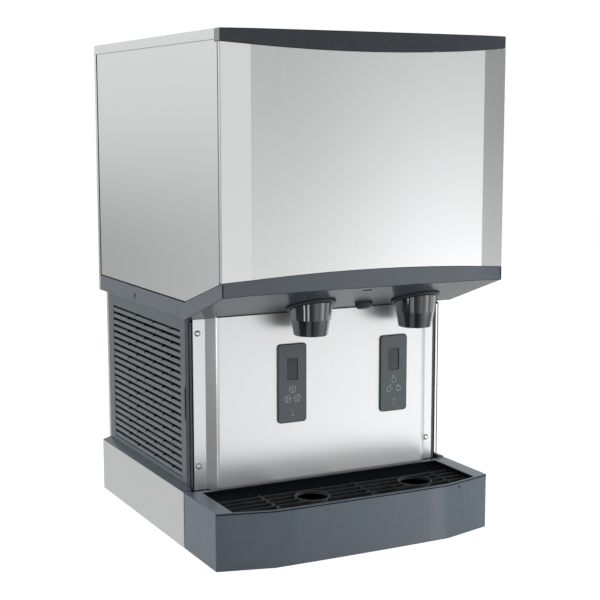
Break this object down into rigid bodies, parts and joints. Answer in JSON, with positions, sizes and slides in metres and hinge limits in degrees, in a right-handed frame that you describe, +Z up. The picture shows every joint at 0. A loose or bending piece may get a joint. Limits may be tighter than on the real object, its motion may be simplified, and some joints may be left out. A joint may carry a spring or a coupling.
{
  "type": "countertop ice and water dispenser",
  "caption": "Tall countertop ice and water dispenser: stainless cabinet over a vend bay with spouts, sensor windows and a drip tray, on a louvred base that holds the cooling unit.",
  "frame": {"origin": "under the middle of the machine's box, on the surface that it stands on", "axes": "+Z up, -Y out of the front, +X to the right as seen from the front"},
  "size_m": [0.54, 0.621, 0.886],
  "materials": {
    "stainless": "fine vertical brushed grain",
    "grey_plastic": "moulded, satin blue-grey",
    "dark_plastic": "moulded, satin, darker grey",
    "black_plastic": "moulded, glossy black",
    "bar_plastic": "moulded, fine matt black",
    "pale_plastic": "food-safe, satin off-white",
    "sensor_lens": "tinted, polished",
    "galvanised": "galvanised sheet",
    "copper": "drawn copper tube",
    "gear_steel": "machined",
    "black_paint": "semi-gloss black paint",
    "aluminium": "mill finish",
    "board": "green circuit board"
  },
  "bodies": {
    "root": {"front_panel": "stainless", "top_trim": "dark_plastic", "top_cover": "stainless", "lower_fascia": "grey_plastic", "side_trim_left": "grey_plastic", "side_trim_right": "grey_plastic", "side_panel_left": "stainless", "side_panel_right": "stainless", "back_panel": "stainless", "mid_deck": "galvanised", "base_pan": "galvanised", "skirt_left": "stainless", "skirt_right": "stainless", "ledge_left": "grey_plastic", "ledge_right": "grey_plastic", "post_left": "dark_plastic", "post_right": "dark_plastic", "louvre_panel_right": "grey_plastic", "rear_ports": "bar_plastic", "power_gland": "bar_plastic", "drip_tray": "grey_plastic", "splash_panel": "stainless", "sensor_bezel_ice": "dark_plastic", "sensor_bezel_water": "dark_plastic", "sensor_eye_ice": "sensor_lens", "sensor_eye_water": "sensor_lens", "ice_spout": "black_plastic", "water_spout": "black_plastic", "bay_light_lens": "black_plastic", "ice_bin": "pale_plastic", "bin_lid": "pale_plastic", "agitator_motor": "black_paint", "gearcase": "aluminium", "evaporator": "galvanised", "nugget_head": "pale_plastic", "auger_motor": "black_paint", "ice_tube": "pale_plastic", "water_reservoir": "pale_plastic", "control_box": "galvanised", "circuit_board": "board", "switch_block": "bar_plastic", "dispense_valve": "bar_plastic", "compressor": "black_paint", "condenser": "aluminium", "fan_shroud": "galvanised", "fan_motor": "black_paint", "discharge_line": "copper", "suction_line": "copper"},
    "fan": {"fan_blade": "bar_plastic"},
    "auger": {"auger": "gear_steel", "auger_gear": "gear_steel"},
    "pinion": {"motor_pinion": "gear_steel"},
    "agitator": {"agitator": "pale_plastic"},
    "float": {"float_arm": "bar_plastic"},
    "left_louvre": {"louvre_panel_left": "grey_plastic", "air_filter": "bar_plastic"},
    "grille": {"drip_grille": "bar_plastic"},
    "rocker": {"power_rocker": "bar_plastic"},
    "button": {"reset_button": "sensor_lens"}
  },
  "joints": [
    {"name": "fan_spin", "type": "hinge", "parent": "root", "child": "fan", "pos_m": [-0.1677, 0.0965, 0.19], "axis": [1, 0, 0], "continuous": true},
    {"name": "auger_spin", "type": "hinge", "parent": "root", "child": "auger", "pos_m": [0.13, 0.1565, 0.4773], "axis": [0, 0, 1], "continuous": true},
    {"name": "pinion_spin", "type": "hinge", "parent": "root", "child": "pinion", "pos_m": [0.208, 0.1565, 0.4853], "axis": [0, 0, 1], "continuous": true},
    {"name": "agitator_spin", "type": "hinge", "parent": "root", "child": "agitator", "pos_m": [-0.05653, -0.1135, 0.4823], "axis": [0, 0, 1], "continuous": true},
    {"name": "float_swing", "type": "hinge", "parent": "root", "child": "float", "pos_m": [-0.075, 0.19, 0.69], "axis": [1, 0, 0], "range_deg": [-8, 10]},
    {"name": "louvre_pull", "type": "slide", "parent": "root", "child": "left_louvre", "axis": [-1, 0, 0], "range_m": [0, 0.06]},
    {"name": "grille_lift", "type": "slide", "parent": "root", "child": "grille", "axis": [0, 0, 1], "range_m": [0, 0.1]},
    {"name": "rocker_tilt", "type": "hinge", "parent": "root", "child": "rocker", "pos_m": [-0.208, 0.3005, 0.56], "axis": [1, 0, 0], "range_deg": [-8, 8]},
    {"name": "button_press", "type": "slide", "parent": "root", "child": "button", "axis": [0, -1, 0], "range_m": [0, 0.002], "stiffness_N_per_m": 400}
  ],
  "couplings": [
    {"joint": "pinion_spin", "follows": "auger_spin", "ratio": -3.3333}
  ]
}
